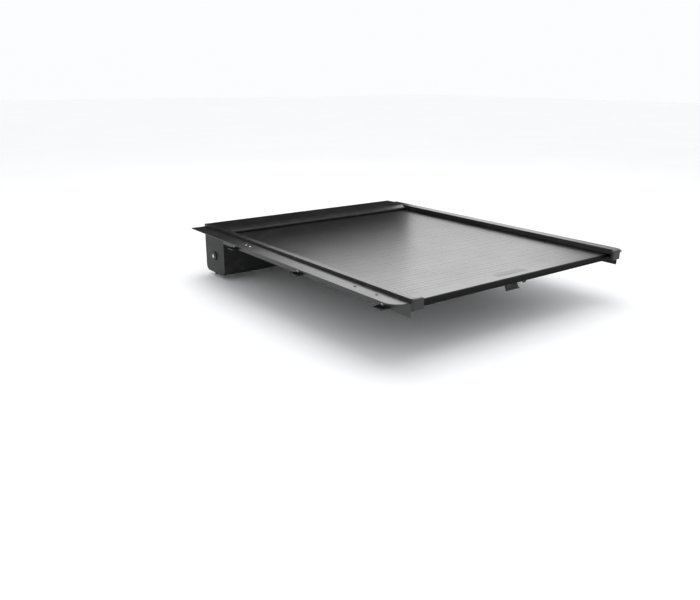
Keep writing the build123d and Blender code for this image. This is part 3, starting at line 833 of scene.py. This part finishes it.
def button_screw():
    """Screw head at the origin, standing on Z = 0."""
    bm = bmesh.new()
    mark_layer(bm)
    old, level = head_rings[0]
    bmesh.ops.create_circle(bm, cap_ends=True, radius=old * mm, segments=24)
    face = bm.faces[:][0]
    for radius, height in head_rings[1:]:
        face = ring_up(bm, face, radius, old, (height - level) * mm)
        old, level = radius, height
    face = ring_up(bm, face, 2.0, old, 0.0)
    for vert in face.verts:
        turn = math.atan2(vert.co.y, vert.co.x) % (math.pi / 3) - math.pi / 6
        out = key_half / math.cos(turn) / vert.co.xy.length
        vert.co.x *= out
        vert.co.y *= out
    ring_up(bm, face, 1.0, 1.0, -key_depth)
    bmesh.ops.remove_doubles(bm, verts=bm.verts, dist=merge_reach)
    bmesh.ops.recalc_face_normals(bm, faces=bm.faces)
    return bm


print("screw head", head_rings[0][0], "mm in radius")

# %% Twelve screws
def islands(node):
    """Boxes of the loose pieces of a frame node, by walking its joined-up vertices."""
    bm = bmesh.new()
    bm.from_mesh(nodes[node].data)
    bmesh.ops.remove_doubles(bm, verts=bm.verts, dist=merge_reach)
    left, found = set(bm.verts), []
    while left:
        reach = [left.pop()]
        low, high = reach[0].co.copy(), reach[0].co.copy()
        while reach:
            vert = reach.pop()
            low = Vector(map(min, low, vert.co))
            high = Vector(map(max, high, vert.co))
            for edge in vert.link_edges:
                other = edge.other_vert(vert)
                if other in left:
                    left.remove(other)
                    reach.append(other)
        found.append((low, high))
    bm.free()
    return sorted(found, key=lambda pair: (round(pair[0].x, 4), pair[0].y))


bright_pair = (1.03, 1.09)
screw = button_screw()
heads = []
for low, high in islands("deck_screws"):
    copy = screw.copy()
    ahead = (low.y + high.y) / 2 - tail_rear
    spot = ((low.x + high.x) / 2, ahead + tail_rear, flange_top)
    bmesh.ops.translate(copy, verts=copy.verts, vec=spot)
    heads.append(tint(copy, 1 if bright_pair[0] < ahead < bright_pair[1] else 0))
screw.free()
print("screws:", len(heads))
piece("flange_screws", joined(*heads), "frame", "black_steel", [black_steel, zinc], "deck_screws")

# %% [markdown]
# ## Lid and mouth wiper
# The lid is a folded sheet: level, then a slope down to a nose over the canister's mouth. The
# outline is the sheet's own thickness, and the folds are bevelled, because a press brake leaves a
# radius. A rubber wiper hangs under the nose.

# %% Lid
lid_low, lid_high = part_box("canister_lid")
sheet = 2.5 * mm
nose_low = curtain_z + 8.5 * mm
slope_y = mouth_y + 40 * mm
slope_z = lip_top - 10 * mm
nose_back = mouth_y + 5 * mm
nose_top = slope_z - 5 * mm
lid_front = lid_high.y


def lid():
    """Folded sheet, front skirt and the ribs that stand on the end plates."""
    outer = [(lid_front, lip_top), (slope_y, lip_top), (nose_back, slope_z),
             (mouth_y, nose_top), (mouth_y, nose_low)]
    inner = [(mouth_y + sheet, nose_low), (mouth_y + sheet, slope_z - sheet - 4 * mm),
             (nose_back + sheet, slope_z - sheet), (slope_y, lip_top - sheet),
             (lid_front, lip_top - sheet)]
    bm = bar_x(outer + inner, lid_low.x, lid_high.x)
    for y, z, radius in ((slope_y, lip_top, 6.0), (mouth_y, nose_top, 2.5), (nose_back, slope_z, 2.5)):
        fold = along(bm, 0, lambda p: near(p.y, y) and near(p.z, z))
        soften(bm, fold, radius * mm, 4)
    ends = edges_where(bm, lambda p: near(abs(p.x), lid_high.x))
    soften(bm, [e for e in ends if max(v.co.z for v in e.verts) > nose_low + mm], 0.4 * mm, 1)
    skirt = box(lid_low.x, lid_high.x, lid_front - 5 * mm, lid_front - 2.5 * mm,
                lip_top - 16 * mm, lip_top - sheet)
    rib = box(lid_high.x - 6 * mm, lid_high.x - 3 * mm, slope_y, lid_front - 5 * mm,
              lip_low, lip_top - sheet)
    return joined(bm, skirt, both_sides(rib))


piece("lid_sheet", lid(), "frame", "lid_black_aluminium", [lid_coat], "canister_lid")
low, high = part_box("mouth_wiper")
wiper = box(low.x, high.x, low.y, high.y, low.z, high.z)
soften(wiper, along(wiper, 0, lambda p: near(p.z, low.z)), 1.0 * mm, 3)
piece("mouth_rubber", wiper, "frame", "black_rubber", [rubber], "mouth_wiper")
print("lid", round(lid_high.x - lid_low.x, 3), "m wide")

# %% [markdown]
# ## Canister
# A trough of folded sheet between two end plates holds the rolled curtain. Its outline is drawn
# as the sheet's outer line and its inner line, a sheet apart, with the two bottom corners as
# arcs. Each end plate has a boss for the fixed axle, turned from a small profile, and two barbed
# spouts let rain water out through hoses.

# %% Trough
can_low, can_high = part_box("canister_body")
bend = 30 * mm


def trough_outline(top_front, top_rear):
    """Outer line down the front, round the bottom and up the rear, then back along the inside."""
    front, rear, bottom = can_high.y, can_low.y, can_low.z
    outer = [(front, top_front)] + arc(front - bend, bottom + bend, bend, 0, -90, 8)
    outer += arc(rear + bend, bottom + bend, bend, -90, -180, 8) + [(rear, top_rear)]
    small = bend - sheet
    inner = [(rear + sheet, top_rear)] + arc(rear + bend, bottom + bend, small, -180, -90, 8)
    inner += arc(front - bend, bottom + bend, small, -90, 0, 8) + [(front - sheet, top_front)]
    return outer + inner


def end_outline(top):
    """Outside of the canister's section, for the plates that close it."""
    front, rear, bottom = can_high.y, can_low.y, can_low.z
    points = [(front, top)] + arc(front - bend, bottom + bend, bend, 0, -90, 8)
    return points + arc(rear + bend, bottom + bend, bend, -90, -180, 8) + [(rear, top)]


trough = bar_x(trough_outline(lip_low, floor_top - 0.5 * mm), can_low.x, can_high.x)
upstand = box(mm - lip_inner, lip_inner - mm, can_high.y - sheet, can_high.y, lip_low, can_high.z)
soften(upstand, along(upstand, 0, lambda p: near(p.z, can_high.z)), 0.6 * mm, 2)
piece("canister_trough", joined(trough, upstand), "frame", "canister_black_aluminium",
      [canister_coat], "canister_body")

print("canister bottom", round(can_low.z, 4))

# %% End plates
drum_centre = (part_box("drum_tube")[0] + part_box("drum_tube")[1]) / 2
plate_out = can_high.x + wall
plate = bar_x(end_outline(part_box("canister_end_right")[1].z), can_high.x, plate_out)
soften(plate, edges_where(plate, lambda p: near(p.x, plate_out)), 0.8 * mm, 2)
boss_ring = [(10, 0), (24, 0), (24, 4.5), (22.5, 6), (11, 6), (10, 5)]
boss = turned([(r * mm, h * mm) for r, h in boss_ring],
              (plate_out, drum_centre.y, drum_centre.z), (1, 0, 0), 48)
shelf = box(lip_inner - 20 * mm, can_high.x, curtain_front + 5 * mm, can_high.y - sheet,
            lip_low - 2 * mm, lip_low)
end_right = joined(plate, boss, shelf)
end_left = left_of(end_right)
for side, end in (("right", end_right), ("left", end_left)):
    piece(f"end_plate_{side}", end, "frame", "canister_black_aluminium", [canister_coat],
          f"canister_end_{side}")
print("end plates out to", round(plate_out, 4))

# %% Drain spouts
flare = 13
spout_low, spout_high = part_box("drain_spouts")
spout_ring = [(6, 0), (7.4, 0), (8, 1.5), (7.2, 4), (8, 4.4), (7.2, 8), (8, 8.4), (7.2, 12), (7.2, 22),
              (flare, 22), (flare, 25), (6, 25)]
spout = turned([(r * mm, h * mm) for r, h in spout_ring],
               (spout_high.x - flare * mm, spout_high.y - flare * mm, spout_low.z), (0, 0, 1), 32)
piece("hose_spouts", both_sides(spout), "frame", "black_nylon", [nylon], "drain_spouts")
print("spouts down to", round(spout_low.z, 4))

# %% [markdown]
# ## Leader
# A web of coated cloth joins the drum to the first slat: a bead in the slat's socket, a straight
# run that meets the drum on a tangent, then part of a turn on the drum. On the real cover the
# straight run is wound up when the cover opens, so it shortens along its own line towards the drum,
# while the turn keeps its length; here both are made as they lie closed, as two pieces.

# %% Where the web meets the drum
wrap = 150
web_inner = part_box("drum_tube")[1].y - drum_centre.y + 0.3 * mm
web_outer = web_inner + 2 * half_neck
ahead = curtain_front + 3 * mm - drum_centre.y
above = joint_z - drum_centre.z
lift = math.acos((web_inner + web_outer) / 2 / math.hypot(ahead, above))
tangent = math.atan2(above, ahead) - lift
outward = Vector((0, math.cos(tangent), math.sin(tangent)))
uphill = Vector((0, -math.sin(tangent), math.cos(tangent)))
print("web leaves the drum at", round(math.degrees(tangent), 1), "degrees")

# %% Leader web

def meets(radius, z):
    """Where one side of the straight run comes level with the bead's neck."""
    foot = drum_centre + radius * outward
    point = foot + uphill * (z - foot.z) / uphill.z
    return point.y, point.z


def run_outline():
    """Bead, neck and straight run."""
    neck = lean(half_neck, bead_radius)
    points = arc(curtain_front - joint_setback, joint_z, bead_radius, neck, 360 - neck, 14)
    points.append(meets(web_inner, joint_z - half_neck))
    for radius in (web_inner, web_outer):
        foot = drum_centre + radius * outward
        points.append((foot.y, foot.z))
    return points + [meets(web_outer, joint_z + half_neck)]


def turn_outline():
    """The part that lies on the drum."""
    start = math.degrees(tangent)
    inner = arc(drum_centre.y, drum_centre.z, web_inner, start, start - wrap, 24)
    return inner + arc(drum_centre.y, drum_centre.z, web_outer, start - wrap, start, 24)


low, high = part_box("leader")
web = bar_x(run_outline(), low.x, high.x)
leader = piece("leader_run", web, "frame", "black_rubber", [web_cloth], "leader")
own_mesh(leader)
turn = bar_x(turn_outline(), low.x, high.x)
piece("leader_turn", turn, "frame", "black_rubber", [web_cloth], "leader")
print("leader", round(high.x - low.x, 3), "m wide")

# %% [markdown]
# ## Frame nodes that stay
# Pieces inside the canister and under the tail bar already have their real shape in the frame, so
# they keep their meshes and only get a finish.

# %% Finishes for the frame's own meshes
kept = {
    "drum_tube": mill, "drum_hubs": mill, "drum_bushes": nylon, "axle_shaft": zinc,
    "torsion_spring": spring_wire, "clamp_brackets": black_steel, "clamp_bolts": zinc,
    "clamp_nuts": zinc, "strikers": zinc, "latch_bolt_right": zinc, "latch_bolt_left": zinc,
    "lever_pin": zinc, "latch_housing": black_steel, "release_lever": black_steel,
}
for node, material in kept.items():
    nodes[node].data.materials.clear()
    nodes[node].data.materials.append(material)
print("kept from the frame:", len(kept))

# %% [markdown]
# ## Studio
# A pale floor and soft light from above show a black cover well. Satin black is seen mostly by
# what it mirrors, so two cards are placed only for their reflections. The far card glows, more so
# towards its top, and gives the grey sheen. A lamp could do that too, but it would shine through
# the dark card, which casts no shadow. The dark card stands where a cab would, and gives the soft
# dark corner. Neither is seen by the camera.

# %% Cards and paint
def panel(name, centre, size_x, size_y, facing, hidden=False):
    """Flat card that faces a direction; a hidden one is seen in reflections only."""
    bm = bmesh.new()
    bmesh.ops.create_grid(bm, x_segments=1, y_segments=1, size=0.5)
    bmesh.ops.scale(bm, verts=bm.verts, vec=(size_x, size_y, 1))
    lay = Vector(facing).to_track_quat("Z", "Y").to_matrix().to_4x4()
    bmesh.ops.transform(bm, matrix=Matrix.Translation(centre) @ lay, verts=bm.verts)
    mesh = bpy.data.meshes.new(name)
    bm.to_mesh(mesh)
    bm.free()
    thing = bpy.data.objects.new(name, mesh)
    bpy.context.scene.collection.objects.link(thing)
    thing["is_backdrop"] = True
    if hidden:
        thing.visible_camera = False
        thing.visible_diffuse = False
        thing.visible_shadow = False
    return thing


def paint(thing, name, dark, light, grain, band, socket="Base Color"):
    """Cover a card with two close greys, blended by noise of some (scale, detail)."""
    material, tree, shader = new_material(name)
    tone = spread(tree, noise(tree, place(tree), *grain), *band)
    tree.links.new(blend_colour(tree, tone, grey(dark), grey(light)), shader.inputs[socket])
    thing.data.materials.append(material)
    return material, tree, shader


print("studio helpers ready")

# %% Floor and reflected cards
floor = panel("studio_floor", (0, 0, cad_low.z - 0.5 * mm), 60, 60, (0, 0, 1))
shader = paint(floor, "floor_paint", 0.95, 0.98, (1.2, 3.0), (0.2, 0.8))[2]
shader.inputs["Roughness"].default_value = 0.7

card = panel("dark_card", (-0.03, 0.14, 0.25), 1.96, 0.48, (0, -1, 0), hidden=True)
shader = paint(card, "card_felt", 0.01, 0.02, (300.0, 3.0), (0.2, 0.8))[2]
shader.inputs["Roughness"].default_value = 0.9

far_box = panel("far_box", (3.2, 3.6, 2.2), 5.6, 3.4, (-3.2, -4.5, -2.2), hidden=True)
material, tree, shader = paint(far_box, "far_box_cloth", 0.96, 1.0, (2.0, 2.0), (0.1, 0.9),
                               "Emission Color")
shader.inputs["Base Color"].default_value = (0.0, 0.0, 0.0, 1.0)
height = tree.nodes.new("ShaderNodeSeparateXYZ")
tree.links.new(place(tree), height.inputs[0])
low_glow, glow_gain = 0.8, 4.4
climb = spread(tree, height.outputs["Z"], 1.0, 2.6)
glow = maths(tree, "MULTIPLY_ADD", climb, glow_gain, low_glow)
tree.links.new(glow, shader.inputs["Emission Strength"])
material.cycles.emission_sampling = "NONE"
print("floor at", round(cad_low.z - 0.5 * mm, 4), "and two reflected cards")

# %% Air, overhead light and camera
world = bpy.data.worlds.new("studio_air")
world.use_nodes = True
air = world.node_tree.nodes["Background"]
air.inputs["Color"].default_value = (0.97, 0.98, 1.0, 1.0)
air.inputs["Strength"].default_value = 1.0
bpy.context.scene.world = world
bpy.context.scene.view_settings.view_transform = "Standard"

lamp = bpy.data.lights.new("overhead_box", "AREA")
lamp.shape = "RECTANGLE"
lamp.size, lamp.size_y = 3.0, 4.0
lamp.energy = 45
overhead = bpy.data.objects.new("overhead_box", lamp)
overhead.location = (0, -0.8, 3.2)
overhead.rotation_euler = Vector((0, 0, -1)).to_track_quat("-Z", "Y").to_euler()
bpy.context.scene.collection.objects.link(overhead)

camera = bpy.data.objects.new("camera", bpy.data.cameras.new("camera"))
camera.data.sensor_width = 36.0
camera.data.lens = 35.69
yaw, dip, roll = math.radians(37.28), math.radians(17.76), math.radians(0.33)
stand = Matrix.Translation((-2.222, -3.363, 0.7615)) @ Matrix.Rotation(-yaw, 4, "Z")
tipped = stand @ Matrix.Rotation(math.pi / 2 - dip, 4, "X")
camera.matrix_world = tipped @ Matrix.Rotation(roll, 4, "Z")
bpy.context.scene.collection.objects.link(camera)
bpy.context.scene.camera = camera
print("camera at", [round(v, 3) for v in camera.matrix_world.translation])

# %% Size against the frame
seen_low, seen_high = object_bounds()
past = [round(v, 4) for v in (*(seen_low - cad_low), *(seen_high - cad_high))]
print("visual minus frame:", past)
